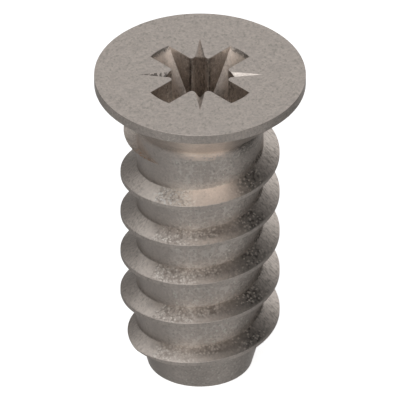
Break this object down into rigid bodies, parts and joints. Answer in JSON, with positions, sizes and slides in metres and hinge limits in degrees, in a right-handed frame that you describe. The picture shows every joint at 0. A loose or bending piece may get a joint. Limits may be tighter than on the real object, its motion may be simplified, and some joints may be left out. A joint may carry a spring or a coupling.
{
  "type": "euro screw",
  "caption": "Countersunk euro screw with a coarse right-hand thread, blunt tapered tip and cross recess, for the drilled holes of cabinet panels.",
  "frame": {"origin": "centre of the flat tip, on the surface that the screw stands on", "axes": "+Z along the screw's axis from the tip to the head, +X and +Y towards two of the head's tick marks"},
  "size_m": [0.0084, 0.0084, 0.0137],
  "materials": {
    "steel": "satin, lightly mottled plated steel"
  },
  "bodies": {
    "root": {"euro_screw": "steel"}
  },
  "joints": []
}
